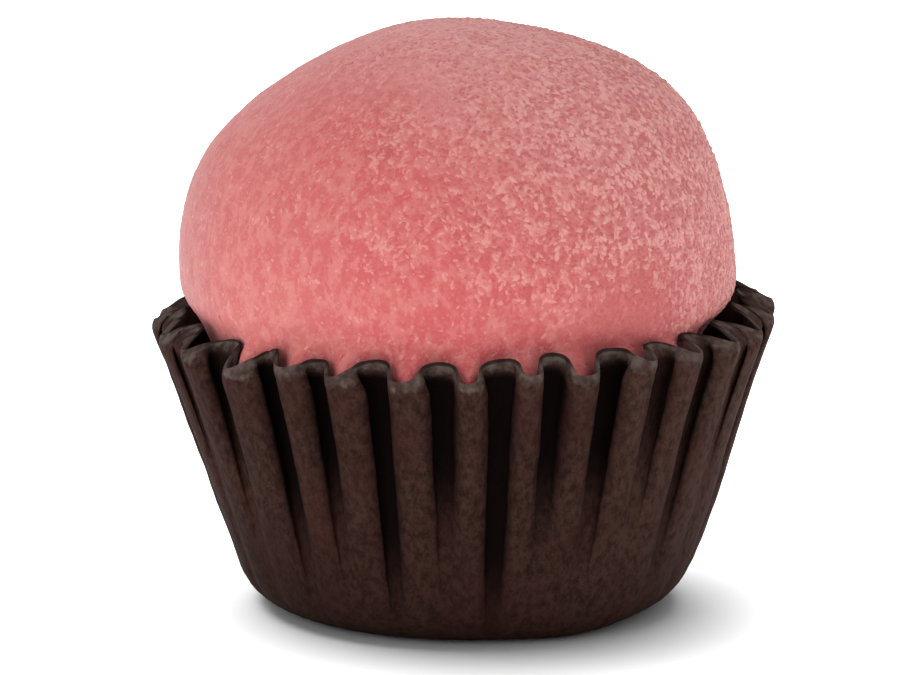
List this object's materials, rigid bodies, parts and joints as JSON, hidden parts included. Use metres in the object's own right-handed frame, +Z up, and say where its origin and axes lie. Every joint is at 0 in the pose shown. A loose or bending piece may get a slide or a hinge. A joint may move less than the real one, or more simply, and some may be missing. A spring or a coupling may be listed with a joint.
{
  "type": "strawberry brigadeiro in a paper case",
  "caption": "Hand-rolled pink fudge ball coated in fine sugar, sitting in a brown fluted paper case that it is served and eaten from.",
  "frame": {"origin": "middle of the paper case's flat foot, on the surface it stands on", "axes": "+Z up through the sweet, -Y towards the pictured front, +X to the picture's right"},
  "size_m": [0.0343, 0.034, 0.0328],
  "materials": {
    "pink_sugar": "soft pink fudge under a coat of fine pink sugar, matt and grainy; stands in for food",
    "brown_paper": "dark brown greaseproof paper, matt"
  },
  "bodies": {
    "root": {"sweet": "pink_sugar", "paper_case": "brown_paper"}
  },
  "joints": []
}
